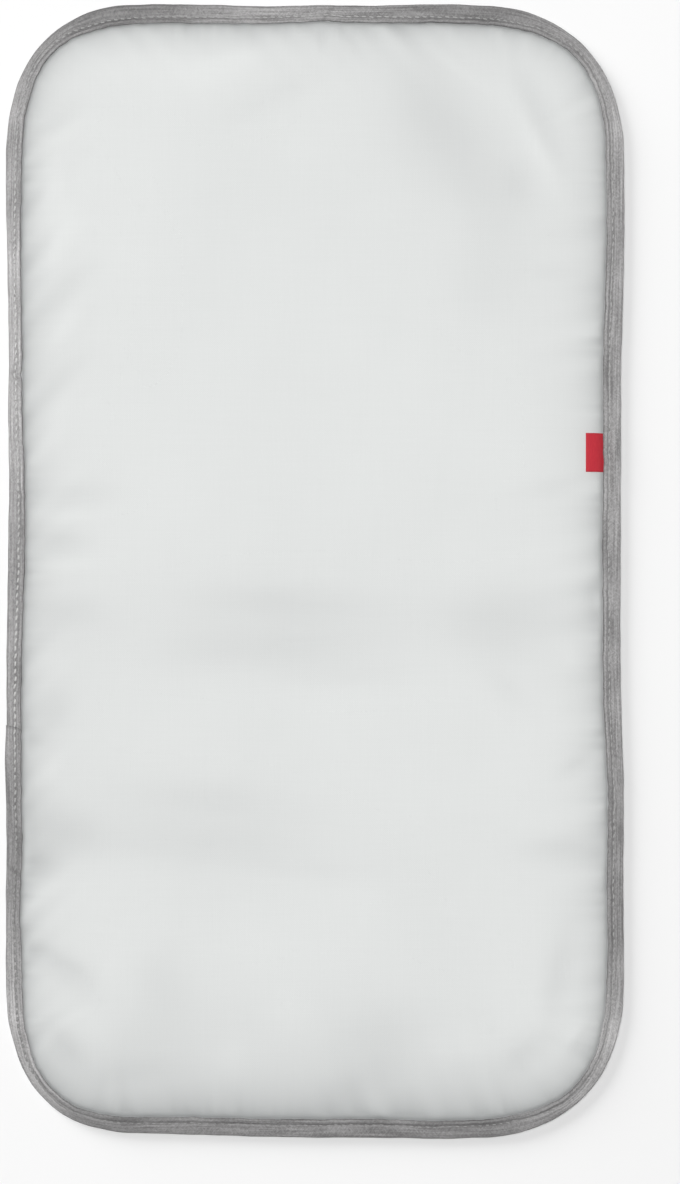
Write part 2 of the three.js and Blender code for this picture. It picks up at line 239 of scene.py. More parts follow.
pad = dict(
    roll=3.0, rollShare=.2,     # the face rolls up steeply beside the tape: length, share of the whole rise
    swell=dict(left=11.0, top=11.5, right=12.5, foot=23.0),     # and then swells to its level in this length
    tuckUnder=0.3,      # the rise starts this far under the tape's inner edge
    crevice=dict(left=.9, top=.9, right=.4, foot=.5),   # how deep the stitches pull the face down beside the tape
    sink=0.5,           # and down under the tape
    creviceWidth=1.1, sinkWidth=2.2,
    gathers=dict(left=.9, top=.8, right=1.5, foot=.8),      # short ripples along the seam
    puckers=dict(left=1.7, top=1.5, right=2.2, foot=1.5),   # longer ones
    puckerSlant=dict(left=-.9, top=-.8, right=-.2, foot=-.4),   # and how they lean
    gatherReach=7.0, puckerReach=15.0,  # how far both run into the field
    cornerCalm=0.75,    # how much smaller both are at the corners
    rippleFade=5.0, hollowFade=8.0,     # lengths in which ripples and hollows start beside the tape
    # painted shade: how much greyer the cloth is drawn at the seam on each side, fading as the face climbs to its level
    grey=dict(left=.8, top=.85, right=.62, foot=1.2),
    fieldGrey=0.08,     # in the open field
    hollowPaintedShade=0.08, foldPaintedShade=0.11,     # and painted shade for each millimetre that a hollow is deep, and a fold beside the seam, painted paler on ridges
    underReach=20.0,    # from the tape to where the back lies on the table
    underPucker=1.2, tableGap=0.02,     # ripples of the back in that length, and its height over the table
    waddingLeast=0.3,   # thickness of the wadding at its rim
    ringReach=46.0, middleReach=150.0,  # from the tape to where the mesh's rings start to shrink, and on to the middle
    # hollows, and ridges with a depth below 0: x, y, way in degrees, half length, half width, depth
    hollows=(
        # head
        (-48, 329, 24, 29, 9, -1.5), (-85, 325, 0, 60, 16, -1.2), (-25, 306, 27, 39, 9, 1.0),
        (75, 301, -58, 37, 17, 1.4), (92, 274, -45, 66, 34, 2.1), (115, 240, -60, 40, 22, 1.0),
        (94, 322, -37, 23, 5, -.8), (146, 296, -63, 32, 8, 2.2), (144, 270, -63, 29, 6.5, -1.3),
        (131, 249, -60, 13, 8, 1.6), (112, 186, 90, 30, 24, 1.1), (155, 191, 0, 19, 5, .9),
        (5, 345, -90, 12, 2, 1.2), (24, 343, -60, 14, 3, .8),
        # left edge, from the head down
        (-164, 291, 35, 16, 6.5, 1.2), (-163, 277, 35, 14, 6, -.9), (-170, 246, 60, 12, 6.5, -1.3),
        (-168, 235, 90, 50, 12, -1.0), (-122, 180, 90, 60, 30, -.6),
        (-162, 212, 62, 22, 8, -1.7), (-163, 179, 43, 24, 8, 1.6), (-162, 154, 56, 18, 6.5, -1.3),
        (-167, 122, 40, 20, 6.5, 1.5), (-166, 97, 56, 16, 6.5, -1.2), (-154, 48, 3, 27, 7, 1.5),
        (-161, 34, 2, 19, 4.5, -.9), (-163, 17, 0, 18, 7, 2.2), (-163, 2, 3, 19, 6, -.9),
        (-158, -28, 0, 23, 10, 1.4), (-169, -61, 0, 12, 8, -.6), (-167, -93, 60, 16, 10, 2.2),
        (-169, -133, 0, 10, 10, -1.0), (-164, -170, -12, 29, 17, 3.0), (-174, -187, -20, 14, 10, 2.0),
        (-148, -268, -45, 28, 11, 1.2), (-183, -109, 0, 10, 6, 2.2), (-182, -190, 0, 12, 8, 2.4),
        (-181, -246, 0, 10, 6, 2.0), (-161, -256, -30, 19, 7, 2.2), (-160, -308, -55, 16, 9, 2.4),
        # across the middle, where it was folded away
        (-16, -22, -3, 48, 10, 1.4), (-28, -51, 3, 71, 12, 1.5), (-10, -35, 0, 78, 27, 1.8),
        (136, -28, 0, 46, 18, 1.9), (-150, -32, 0, 40, 20, .7), (20, -67, 0, 45, 9, 1.2),
        (122, -46, -20, 40, 22, 1.5), (126, -77, -40, 16, 8, 1.0), (-67, -147, -4, 36, 8, 1.2),
        (-93, -178, -4, 71, 11, 1.2), (-75, -163, -8, 85, 25, 1.6), (4, -193, -3, 36, 6.5, .9),
        # right edge, from the label down
        (160, 52, 8, 23, 6.5, 1.5), (184, -19, 0, 10, 9, 1.6), (168, -57, -40, 10, 6.5, -.8),
        (170, -125, 30, 13, 6, 1.6), (165, -181, 0, 29, 8, 2.2),
        (159, -261, 80, 32, 9, 2.0), (136, -312, 45, 16, 10, 2.0), (166, -300, 55, 13, 4, -1.0),
        # foot
        (-96, -267, -70, 26, 20, 1.4), (42, -303, 20, 32, 21, 1.7), (30, -332, 30, 30, 12, 1.3),
        (-130, -312, 12, 60, 18, 1.2), (-16, -287, 0, 19, 12, -.8), (-45, -250, 0, 70, 30, -.9),
        (94, -306, 0, 23, 12, -.7), (-54, -319, 90, 16, 12, -.9), (-119, -325, 10, 29, 9, 1.2)))


def bySide(s, values):
    # a value for each edge, blended round the corners by the direction inwards
    _, _, inX, inY, _ = edgeAt(s)
    return sum(values[name] * np.maximum(part, 0) ** 2
               for name, part in (("left", inX), ("right", -inX), ("foot", inY), ("top", -inY)))


def cornerShare(s):
    # 0 along a straight edge, 1 in the middle of a corner
    _, _, inX, inY, _ = edgeAt(s)
    return (2 * inX * inY) ** 2


def seamRise(fromLip, s):
    # the face climbs from the tape to its level as two exponentials: a short steep roll and a long swell
    d = np.maximum(fromLip + pad["tuckUnder"], 0)
    roll, swell = 1 - np.exp(-d / pad["roll"]), 1 - np.exp(-d / bySide(s, pad["swell"]))
    return (fieldHigh - faceHigh) * (pad["rollShare"] * roll + (1 - pad["rollShare"]) * swell)


def seamRipples(x, y, fromLip, s):
    # puckers and gathers are waves along the seam that die away into the field, the puckers longer and slanting;
    # smaller at the corners, and none under the label, which lies flat
    inField = np.maximum(fromLip, 0)
    calm = (1 - pad["cornerCalm"] * cornerShare(s)) * (1 - overLabel(x, y))
    folds = waves(s + bySide(s, pad["puckerSlant"]) * inField, (43, 59, 83, 109), (.7, 2.9, 5.2, 1.4))
    z = bySide(s, pad["puckers"]) * folds * (.6 + .4 * waves(s, (5, 13), (1.2, .4)))
    z *= np.exp(-inField / pad["puckerReach"])
    short = waves(s, (193, 251, 293), (.3, 1.9, 4.1)) * (.5 + .5 * waves(s, (9, 23), (0, 2)))
    z += bySide(s, pad["gathers"]) * short * np.exp(-inField / pad["gatherReach"])
    return z * calm * eased((fromLip + 1) / pad["rippleFade"])


def relief(x, y, fromLip, s):
    # hollows and ridges are long bells, and the ripples of the seam come on top
    z = np.zeros_like(x)
    for px, py, angle, halfLength, halfWidth, depth in pad["hollows"]:
        a = np.radians(angle)
        along = ((x - px) * np.cos(a) + (y - py) * np.sin(a)) / halfLength
        across = ((y - py) * np.cos(a) - (x - px) * np.sin(a)) / halfWidth
        z -= depth * np.exp(-along ** 2 - across ** 2)
    return z * eased((fromLip + 1) / pad["hollowFade"]) + seamRipples(x, y, fromLip, s)


def faceHeight(x, y, fromLip, s):
    # level under the tape, the rise to the field, the crevice at the tape's inner edge, the sink under its stitches
    # and the relief
    crevice = bySide(s, pad["crevice"]) * np.exp(-(fromLip / pad["creviceWidth"]) ** 2) * (1 - overLabel(x, y))
    sink = pad["sink"] * np.exp(-((fromLip + stitchInset) / pad["sinkWidth"]) ** 2)
    return faceHigh + seamRise(fromLip, s) - crevice - sink + relief(x, y, fromLip, s)


def lipWave(s):
    # how far the tape's inner edge wanders
    return outline["lipWander"] * waves(s, (61, 89, 143, 211), (.4, 2.2, 5.1, 1.3))


def ringGrid(count, underShares, fromLips, scales):
    # rings round the cloth: under the tape, at set distances from its inner edge, then shrinking to the middle
    s = np.linspace(0, perimeter, count, endpoint=False)
    x, y, inX, inY, width = edgeAt(s)
    lip = width + lipWave(s)
    under = -np.array(underShares)[:, None] * (lip - foldRadius - layerGap)
    fromLip = np.vstack([under, np.repeat(np.array(fromLips)[:, None], count, 1)])
    ringX, ringY = x + inX * (lip + fromLip), y + inY * (lip + fromLip)
    shrink = np.array(scales)[:, None]
    ringX, ringY = (np.vstack([ring, ring[-1:] * shrink]) for ring in (ringX, ringY))
    fromLip = np.vstack([fromLip, fromLip[-1:] + pad["middleReach"] * (1 - shrink)])
    return ringX, ringY, fromLip, np.broadcast_to(s, ringX.shape)


def ringFaces(rows, count, flip=False):
    # quads between the rings and a fan to the point in the middle, which comes after them
    ring = (rows - 1) * count + np.arange(count)
    fan = np.stack([np.full(count, rows * count), np.roll(ring, -1), ring], -1)
    return gridFaces(rows, count, True, flip) + (fan[:, ::-1] if flip else fan).tolist()


def ringPoints(x, y, z):
    return np.vstack([np.stack([x, y, z], -1).reshape(-1, 3), [0, 0, z[-1].mean()]])


def addThickness(piece, thickness):
    # downwards from the face, upwards from the back, which is turned over
    solid = piece.modifiers.new("thickness", "SOLIDIFY")
    solid.thickness = thickness * mm
    solid.offset = -1


def makeFaceCloth():
    # the ply on top, and how much painted shade each point of it gets
    count, fromLips = 780, pad["ringReach"] * np.linspace(0, 1, 18) ** 1.6
    x, y, fromLip, s = ringGrid(count, (1, .7, .45, .33, .15), fromLips, np.linspace(1, .02, 40)[1:])
    z = faceHeight(x, y, fromLip, s)
    piece = makePiece("face_cotton", ringPoints(x, y, z), ringFaces(len(x), count))
    # painted shade: greyer at the seam on each side, in the hollows and in the ripples, and painted paler on the ridges
    paintedShadeShare = 1 - seamRise(fromLip, s) / (fieldHigh - faceHigh)
    grey = pad["fieldGrey"] + bySide(s, pad["grey"]) * paintedShadeShare - pad["hollowPaintedShade"] * relief(x, y, fromLip, s)
    grey -= pad["foldPaintedShade"] * seamRipples(x, y, fromLip, s)
    setAttribute(piece, "paintedShade", np.append(grey.ravel(), grey[-1].mean()).clip(0, 1))
    addThickness(piece, ply)
    return piece


def makeBackCloth():
    # the back lies on the table and curves up to the tape in its last few centimetres
    count, fromLips = 400, pad["underReach"] * np.linspace(0, 1, 10)
    x, y, fromLip, s = ringGrid(count, (1, .5, .2), fromLips, np.linspace(1, .02, 14)[1:])
    lift = 1 - eased(fromLip / pad["underReach"])
    ripples = pad["underPucker"] * lift * (1 - lift) * waves(s, (171, 203, 247), (1.1, 4.0, .2)) * (fromLip > 0)
    z = np.maximum(backLow * lift + ripples, pad["tableGap"])
    piece = makePiece("back_cotton", ringPoints(x, y, z), ringFaces(len(x), count, True))
    addThickness(piece, ply)
    return piece


def makeWadding():
    # a crowned slab: its top follows the face from below, a millimetre lower in the field, and its underside the
    # back from above
    count, fromLips = 400, pad["ringReach"] * np.linspace(0, 1, 14) ** 1.5
    x, y, fromLip, s = ringGrid(count, (.9, .5), fromLips, np.linspace(1, .02, 30)[1:])
    low = backHigh + layerGap + (waddingLow - backHigh - layerGap) * eased(fromLip / pad["underReach"])
    top = faceHeight(x, y, fromLip, s) - ply - layerGap - eased((fromLip + 3) / 6)
    upper, lower = ringPoints(x, y, np.maximum(top, low + pad["waddingLeast"])), ringPoints(x, y, low)
    ring = np.arange(count)
    rim = np.stack([ring, np.roll(ring, -1), np.roll(ring, -1) + len(upper), ring + len(upper)], -1)
    under = [[i + len(upper) for i in quad] for quad in ringFaces(len(x), count, True)]
    return makePiece("wadding_sheet", np.vstack([upper, lower]), ringFaces(len(x), count) + under + rim.tolist())


face = makeFaceCloth()
back = makeBackCloth()
wadding = makeWadding()
print("plies and wadding made")

tape = dict(
    step=1.25,              # spacing of the cross-sections
    groove=dict(left=.4, top=.4, right=.45, foot=.45),   # how far the row of stitches draws the tape in
    underGroove=0.25,       # and under the cloth
    grooveWidth=0.9,
    dimple=0.2,             # how far each needle hole draws it in besides
    paintedGrooveShade=dict(left=.13, top=.1, right=.26, foot=.14),   # painted shade: how much darker the tape is drawn just inside that row
    paintedLipShade=0.22, paintedEndShade=0.4,      # painted shade at its inner edge, and at its cut end
    lipPuff=0.8, lipPuffWidth=5.0,  # how far it puffs up between stitches and inner edge
    bandPuff=0.2,                   # and between fold and stitches
    lipDrop=0.27,                   # how far its inner edge is rounded off
    gathers=0.4, wrinkles=0.12,     # gathers at the corners, and wrinkles on the bias everywhere
    foldWander=0.2,                 # how far the fold wanders
    lapEnd=-100.0, lapLength=22.0,  # y where it ends on the left edge, and how far it lies over its own start
    lapLift=0.7, lapRamp=16.0, lapClear=1.5,    # how far it climbs for that, in what length, and how much sooner
    # its cut end leans, in length for each unit of width, and rounds off, within this length
    slant=0.15, endRound=0.1, endLength=10.0,
    hug=0.7, hugLength=12.0,            # how closely the end hugs the fold
    startDraw=0.45, startLength=60.0,   # and how far the start under it is drawn in
    pinchSlant=0.8,
    # pinches: distance along the outline, half length, change of width, drop, how much darker its painted shade is
    pinches=((leftRun(127), 1.8, -.9, .35, .22), (leftRun(-193), 1.4, 0, .5, .25), (topRun(9), 1.8, -.5, .3, .2),
             (rightRun(-150), 3, -.4, .15, .1)),
    # patches painted paler, a painted sheen of its slanting threads, or darker, a painted shade:
    # distance along the outline, half length, change
    patches=((leftRun(-297), 60, .95), (leftRun(28), 40, -.22), (leftRun(238), 25, -.2), (topRun(-132), 40, -.34),
             (topRun(-13), 40, .34), (topRun(107), 40, -.25), (rightRun(290), 60, .24), (rightRun(70), 90, .18),
             (rightRun(-90), 40, .17), (rightRun(-310), 40, .68), (footRun(107), 25, -.22), (footRun(-142), 40, -.18)))
stitches = dict(
    count=round(perimeter / 4.9), share=.66, slant=.5,      # part of the pitch that shows, and how far each one leans
    radius=dict(left=.66, top=.48, right=.44, foot=.34),
    wide=1.1, high=.85,     # how flat the thread lies
    proud=dict(left=.16, top=-.1, right=-.08, foot=-.22),   # how far they stand out of the tape
    arch=.1, dive=.45,      # how far they arch in the middle, and dive into the needle holes
    tone=dict(left=.92, top=.98, right=1.15, foot=1.1),     # how pale the thread is painted on each side, a painted highlight
    # and where a painted highlight makes it paler still, as the patches of the tape
    patches=((leftRun(-80), 75, .58), (leftRun(150), 70, .13), (topRun(20), 75, .36)))
stitchPitch = perimeter / stitches["count"]


def lapAt(s):
    # how far the tape climbs over its own start, for distances past the first turn
    climbStart = leftRun(tape["lapEnd"] - tape["lapLength"] - tape["lapClear"] - tape["lapRamp"])
    return tape["lapLift"] * np.clip((s - perimeter - climbStart) / tape["lapRamp"], 0, 1)


def pinched(s, fromLip, which):
    # the pinches run across the tape on a slant
    return bells(s + tape["pinchSlant"] * (fromLip + 5), tape["pinches"], which)


def tapeFace(s, x, y, fromLip, band):
    # height of the tape's face leg over its plain level: it climbs over the label, puffs between fold, stitches and
    # inner edge, sinks along the row of stitches, at each needle hole and at the pinches, gathers at the corners and
    # wrinkles on the bias
    toStitch = fromLip + stitchInset
    hole = ringDistance(s, np.round(s / stitchPitch) * stitchPitch)
    z = label["climb"] * overLabel(x, y) + tape["bandPuff"] * np.sin(np.pi * band)
    z = z + tape["lipPuff"] * np.sin(np.pi * np.clip(toStitch / tape["lipPuffWidth"], 0, 1)) ** 1.5
    z -= bySide(s, tape["groove"]) * np.exp(-(toStitch / tape["grooveWidth"]) ** 2) + pinched(s, fromLip, 3)
    z -= tape["dimple"] * np.exp(-(toStitch / .7) ** 2 - (hole / .6) ** 2)
    z += tape["gathers"] * cornerShare(s) * waves(s, (331, 397, 467), (.5, 3.1, 1.7)) * (.4 + .6 * band)
    wrinkles = waves(s + 0.9 * fromLip, (301, 377, 463), (0, 2.1, 4.4))
    return z + tape["wrinkles"] * wrinkles * (1 + waves(s, (7, 11), (1, 3)))


def makeTape():
    # one strip, folded round the edge: its cross-section is carried from its hidden start on the left edge once
    # round, over that start, and up to its cut end. Columns: under leg, fold, face leg, and back along the inside.
    start, end = leftRun(tape["lapEnd"] - tape["lapLength"]), perimeter + leftRun(tape["lapEnd"])
    path = np.linspace(start, end, int((end - start) / tape["step"]))[:, None]
    width = edgeAt(path)[4] + lipWave(path) + bells(path, tape["pinches"], 2)
    lap = lapAt(path)

    def legColumns(shares, near):
        # distances from the lip: shares of the way from the stitches to the fold, then set ones
        row = stitchInset + .7
        far = -row - (width - foldRadius - row) * np.array(shares)
        return np.hstack([far, np.repeat([near], len(path), 0)])

    topLip = legColumns((1, .7, .4, .18), (-4.7, -4.3, -4, -3.7, -3.3, -2.6, -1.9, -1.2, -.6, -.25, -.07, 0))
    lowLip = legColumns((1, .5), (-4.7, -4, -3.3, -1.6, -.5, -.12, 0))[:, ::-1]
    insideTop = legColumns((1, .4), (-4, -2, -.12))[:, ::-1]
    insideLow = legColumns((1, .4), (-4, -2, -.12))
    angle = np.radians(np.linspace(-72, 72, 7))[None]
    insideAngle = angle[:, 5:0:-2]

    def onFace(fromLip):
        s = cut(path, width + fromLip)
        x, y, inX, inY, _ = edgeAt(s)
        x, y = x + inX * (width + fromLip), y + inY * (width + fromLip)
        band = np.clip((fromLip + width - foldRadius) / (width - foldRadius - stitchInset), 0, 1)
        return tapeTop + lap + tapeFace(s, x, y, fromLip, band)

    def cut(s, across):
        # near its end the tape leans and rounds off towards its inner edge
        lean = tape["slant"] * (across - 5) + tape["endRound"] * np.maximum(across - 6, 0) ** 2
        return s - lean * eased((s - end + tape["endLength"]) / tape["endLength"])

    def tip(fromLip):
        return tape["lipDrop"] * np.clip(1 + fromLip / .3, 0, 1) ** 2

    mid, half = (tapeTop + tapeLow) / 2, (tapeTop - tapeLow) / 2 + lap
    hug = tape["hug"] * eased((path - end + tape["hugLength"]) / tape["hugLength"])
    draw = tape["startDraw"] * (1 - eased((path - start) / tape["startLength"]))
    bulge = foldRadius + tape["foldWander"] * waves(path, (29, 53, 97), (.2, 2.7, 4.9))
    bulge = bulge + lap * (1 - hug) - draw
    topZ = onFace(topLip) - tip(topLip)
    lowGroove = tape["underGroove"] * np.exp(-((lowLip + stitchInset) / tape["grooveWidth"]) ** 2)
    lowZ = tapeLow - lap + lowGroove + tip(lowLip)
    foldZ = mid + half * np.sin(angle) + .1 * np.cos(angle) * waves(path, (113, 181), (2, 5))
    columns = [
        (width + lowLip, lowZ),
        (foldRadius - bulge * np.cos(angle), foldZ),
        (width + topLip, topZ),
        (width + insideTop, np.minimum(onFace(insideTop) - tapeLeg, tapeTop + lap + 2)),
        (foldRadius - (bulge - tapeLeg) * np.cos(insideAngle), mid + (half - tapeLeg) * np.sin(insideAngle)),
        (width + insideLow, tapeLow - lap + tapeLeg + 0 * insideLow)]
    across, z = (np.hstack([column[i] for column in columns]) for i in (0, 1))
    s = cut(path, across)
    x, y, inX, inY, _ = edgeAt(s)
    points = np.stack([x + inX * across, y + inY * across, z], -1)
    rows, cols = z.shape
    section = np.stack([across, z], -1)[rows // 2]
    girth = np.concatenate([[0], np.cumsum(np.linalg.norm(np.diff(section, axis=0), axis=1))])
    uv = np.stack([s, np.broadcast_to(girth, s.shape)], -1)
    piece = makePiece("binding_tape", points, stripFaces(rows, cols), uv)
    fromLip = across - width
    # painted shade in the groove inside the stitches, at the inner edge, at the cut end and in the pinches, and painted
    # sheen and shade in patches
    dark = bySide(s, tape["paintedGrooveShade"]) * np.exp(-((fromLip + stitchInset - 1) / .7) ** 2)
    dark += tape["paintedLipShade"] * np.exp(-(fromLip / .6) ** 2) + tape["paintedEndShade"] * np.exp(-((path - end) / 1.3) ** 2)
    setAttribute(piece, "tone", (1 + bells(s, tape["patches"], 2)) * (1 - dark) * (1 - pinched(s, fromLip, 4)))
    return piece


def makeStitches(name, level, sign):
    # each stitch is a short flattened tube along the row: it arches a little between its two needle holes and
    # dives into them. sign is 1 on the face and -1 underneath.
    rng = np.random.default_rng(5)
    count, sidesRound = stitches["count"], 6
    u = np.array([0, .07, .22, .5, .78, .93, 1])
    theta = np.arange(sidesRound) * 2 * np.pi / sidesRound
    s = (np.arange(count)[:, None] + .5 + stitches["share"] * (u - .5)) * stitchPitch
    lean = rng.normal(0, .1, (count, 1)) + (stitches["slant"] + rng.normal(0, .12, (count, 1))) * (u - .5)
    x, y, inX, inY, width = edgeAt(s)
    width = width + lipWave(s) + bells(s, tape["pinches"], 2)
    across = width - stitchInset + lean
    lap = lapAt(s + perimeter) * (s < leftRun(tape["lapEnd"]))
    dive = np.abs(2 * u - 1) ** 9
    if sign > 0:
        surface = level + lap + tapeFace(s, x + inX * across, y + inY * across, -stitchInset + 0 * s, 1 + 0 * s)
    else:
        surface = level - lap + tape["underGroove"] + 0 * s
    arch = stitches["arch"] * np.sin(np.pi * u)
    centre = surface + sign * (bySide(s, stitches["proud"]) + arch - stitches["dive"] * dive)
    radius = bySide(s, stitches["radius"]) * (1 - .3 * dive) * (1 + rng.normal(0, .06, (count, 1)))
    offset = radius[..., None] * stitches["wide"] * np.cos(theta)
    height = centre[..., None] + radius[..., None] * stitches["high"] * np.sin(theta)
    points = np.stack([(x + inX * across)[..., None] + inX[..., None] * offset,
                       (y + inY * across)[..., None] + inY[..., None] * offset, height], -1)
    rings = len(u)
    tube = np.array(gridFaces(rings, sidesRound, True))
    first = np.arange(count)[:, None, None] * rings * sidesRound
    capA, capB = np.arange(sidesRound), np.arange(sidesRound)[::-1] + (rings - 1) * sidesRound
    faces = (tube + first).reshape(-1, 4).tolist() + (np.stack([capA, capB]) + first).reshape(-1, sidesRound).tolist()
    uv = np.stack(np.broadcast_arrays(s[..., None], theta / 2), -1)
    piece = makePiece(name, points, faces, uv)
    # painted highlight: the thread drawn paler on some sides and in patches
    tone = bySide(s, stitches["tone"]) + bells(s, stitches["patches"], 2)
    setAttribute(piece, "tone", np.broadcast_to(tone[..., None], height.shape))
    return piece


def makeLabel():
    # ribbon folded in two: a strip that runs out of the seam along the face, turns at the free end and comes back.
    # Columns: underside, fold, top, and back along the inside of the fold.
    y = np.linspace(-.5, .5, 21)[:, None] * label["width"] + label["y"]
    half = label["ribbon"] + label["foldGap"]
    out = np.concatenate([np.linspace(-label["tuck"], 0, 5)[:-1], np.linspace(0, label["reach"] - half, 18)])[None]
    x0, _, _, _, width = edgeAt(np.array([rightRun(label["y"])]))
    lipX = float(x0[0] - width[0])
    s = rightRun(y)

    def centreLine(out):
        x = lipX - out
        share = np.clip(out / label["reach"], 0, 1)
        side = (2 * (y - label["y"]) / label["width"]) ** 2
        z = faceHeight(x + 0 * y, y + 0 * x, np.minimum(out, label["reach"]) + 0 * y, s + 0 * x)
        return z + layerGap + half + label["curl"] * share ** 2 * (.6 + .4 * side)

    turn = np.radians(np.array([-60, -20, 20, 60]))[None]
    tipZ, zero, inner = centreLine(out[:, -1:]), 0 * y, label["foldGap"]
    columns = [
        (lipX - out + zero, centreLine(out) - half),
        (lipX - out[:, -1:] - half * np.cos(turn) + zero, tipZ + half * np.sin(turn)),
        (lipX - out[:, ::-1] + zero, centreLine(out)[:, ::-1] + half),
        (lipX - out[:, ::2] + zero, centreLine(out)[:, ::2] + inner),
        (lipX - out[:, ::-2] + zero, centreLine(out)[:, ::-2] - inner)]
    x, z = (np.hstack([column[i] for column in columns]) for i in (0, 1))
    rows, cols = z.shape
    points = np.stack([x, y + 0 * x, z], -1)
    return makePiece("label_ribbon", points, stripFaces(rows, cols), np.stack([y + 0 * x, -x], -1))


binding = makeTape()
needleRow = makeStitches("needle_stitches", tapeTop, 1)
bobbinRow = makeStitches("bobbin_stitches", tapeLow, -1)
ribbon = makeLabel()
print("tape, stitches and label made")


def linearColour(hexColour):
    # sRGB hex to the linear values that a shader takes
    c = np.array([int(hexColour[i:i + 2], 16) for i in (0, 2, 4)]) / 255
    c = np.where(c <= 0.04045, c / 12.92, ((c + 0.055) / 1.055) ** 2.4)
    return (*(float(v) for v in c), 1.0)


def addNode(tree, kind, inputs, **settings):
    # a node with its settings; an input is a value or the output socket that feeds it
    node = tree.nodes.new("ShaderNode" + kind)
    for name, value in settings.items():
        setattr(node, name, value)
    for name, value in inputs.items():
        if isinstance(value, bpy.types.NodeSocket):
            tree.links.new(value, node.inputs[name])
        else:
            node.inputs[name].default_value = value
    return node


def mixColours(tree, share, first, second):
    # from the first colour at 0 to the second at 1; each is a hex colour or a socket
    first, second = (linearColour(c) if isinstance(c, str) else c for c in (first, second))
    return addNode(tree, "Mix", {"Factor": share, 6: first, 7: second}, data_type="RGBA").outputs[2]


def addBump(tree, shader, height, strength, distance):
    bump = addNode(tree, "Bump", {"Height": height.outputs[0], "Strength": strength, "Distance": distance})
    tree.links.new(bump.outputs[0], shader.inputs["Normal"])


def newMaterial(name, roughness, **sockets):
    material = bpy.data.materials.new(name)
    material.use_nodes = True
    shader = material.node_tree.nodes["Principled BSDF"]
    shader.inputs["Roughness"].default_value = roughness
    for key, value in sockets.items():
        shader.inputs[key.replace("_", " ")].default_value = value
    return material, material.node_tree, shader


def wovenCotton(name, light, dark):
    # plain-woven cotton: matt and soft, threads over and under each other, a few thicker than the rest.
    # The real threads are 0.4 mm apart, too fine to show, so they are drawn coarser.
    pitch = 1.3
    material, tree, shader = newMaterial(name, .92, Specular_IOR_Level=.03)
    place = addNode(tree, "TexCoord", {}).outputs["Object"]
    turns = addNode(tree, "VectorMath", {0: place, 1: (2 * np.pi / (pitch * mm),) * 3}, operation="MULTIPLY")
    axes = addNode(tree, "SeparateXYZ", {0: turns.outputs[0]})
    warp = addNode(tree, "Math", {0: axes.outputs["X"]}, operation="SINE")
    weft = addNode(tree, "Math", {0: axes.outputs["Y"]}, operation="SINE")
    over = addNode(tree, "Math", {0: warp.outputs[0], 1: weft.outputs[0]}, operation="MULTIPLY")
    slubs = []
    for stretch in ((30, 1100, 30), (1100, 30, 30)):
        along = addNode(tree, "VectorMath", {0: place, 1: stretch}, operation="MULTIPLY")
        slubs.append(addNode(tree, "TexNoise", {"Vector": along.outputs[0], "Scale": 1.0, "Detail": 2.0}).outputs[0])
    slub = addNode(tree, "Math", {0: slubs[0], 1: slubs[1]}, operation="ADD")
    cloud = addNode(tree, "TexNoise", {"Vector": place, "Scale": 9.0, "Detail": 3.0})
    tone = addNode(tree, "Math", {0: slub.outputs[0], 1: .3, 2: cloud.outputs[0]}, operation="MULTIPLY_ADD")
    ramp = addNode(tree, "MapRange", {"Value": tone.outputs[0], "From Min": .5, "From Max": 1.1})
    colour = mixColours(tree, ramp.outputs[0], dark, light)
    # the face ply's painted shade mixes its colour towards grey
    paintedShadeShare = addNode(tree, "Attribute", {}, attribute_name="paintedShade").outputs["Fac"]  # 0 on a piece without it
    tree.links.new(mixColours(tree, paintedShadeShare, colour, "b9bbbb"), shader.inputs["Base Color"])
    height = addNode(tree, "Math", {0: slub.outputs[0], 1: 1.5, 2: over.outputs[0]}, operation="MULTIPLY_ADD")
    addBump(tree, shader, height, .25, .00006)
    return material


def withPaintedLight(tree, colour):
    # the colour made paler or darker by the piece's own attribute, which holds painted shade and painted highlights
    tone = addNode(tree, "Attribute", {}, attribute_name="tone").outputs["Fac"]
    return addNode(tree, "VectorMath", {0: colour, "Scale": tone}, operation="SCALE").outputs[0]


def biasTape():
    # bias-cut woven polyester-cotton tape with a soft sheen: its colour holds a random tone, painted glints of the
    # crossing diagonal threads, one by one, and painted streaks of sheen along it. The real threads are 0.3 mm apart,
    # too fine to show, so they are drawn coarser.
    material, tree, shader = newMaterial("bias-cut woven tape", .8, Specular_IOR_Level=.5)
    place = addNode(tree, "UVMap", {}, uv_map="alongAcross").outputs[0]
    turned = addNode(tree, "Mapping", {"Vector": place, "Rotation": (0, 0, np.radians(45))})
    threads = []
    for stretch in ((.35, 1.1, 1), (1.1, .35, 1)):
        fine = addNode(tree, "VectorMath", {0: turned.outputs[0], 1: stretch}, operation="MULTIPLY")
        threads.append(addNode(tree, "TexNoise", {"Vector": fine.outputs[0], "Scale": 1.0, "Detail": 2.0}).outputs[0])
    weave = addNode(tree, "Math", {0: threads[0], 1: threads[1]}, operation="MAXIMUM")
    drawn = addNode(tree, "VectorMath", {0: place, 1: (.03, .8, 1)}, operation="MULTIPLY")
    streaks = addNode(tree, "TexNoise", {"Vector": drawn.outputs[0], "Scale": 1.0, "Detail": 2.0})
    broad = addNode(tree, "TexNoise", {"Vector": place, "Scale": .035, "Detail": 3.0})
    # painted glints of the threads and painted streaks of sheen on a random tone
    tone = addNode(tree, "Math", {0: broad.outputs[0], 1: .45, 2: weave.outputs[0]}, operation="MULTIPLY_ADD")
    tone = addNode(tree, "Math", {0: streaks.outputs[0], 1: tone.outputs[0]}, operation="ADD")
    ramp = addNode(tree, "MapRange", {"Value": tone.outputs[0], "From Min": 1.03, "From Max": 1.58})
    tree.links.new(withPaintedLight(tree, mixColours(tree, ramp.outputs[0], "626161", "979696")), shader.inputs["Base Color"])
    addBump(tree, shader, weave, .5, .0004)
    return material


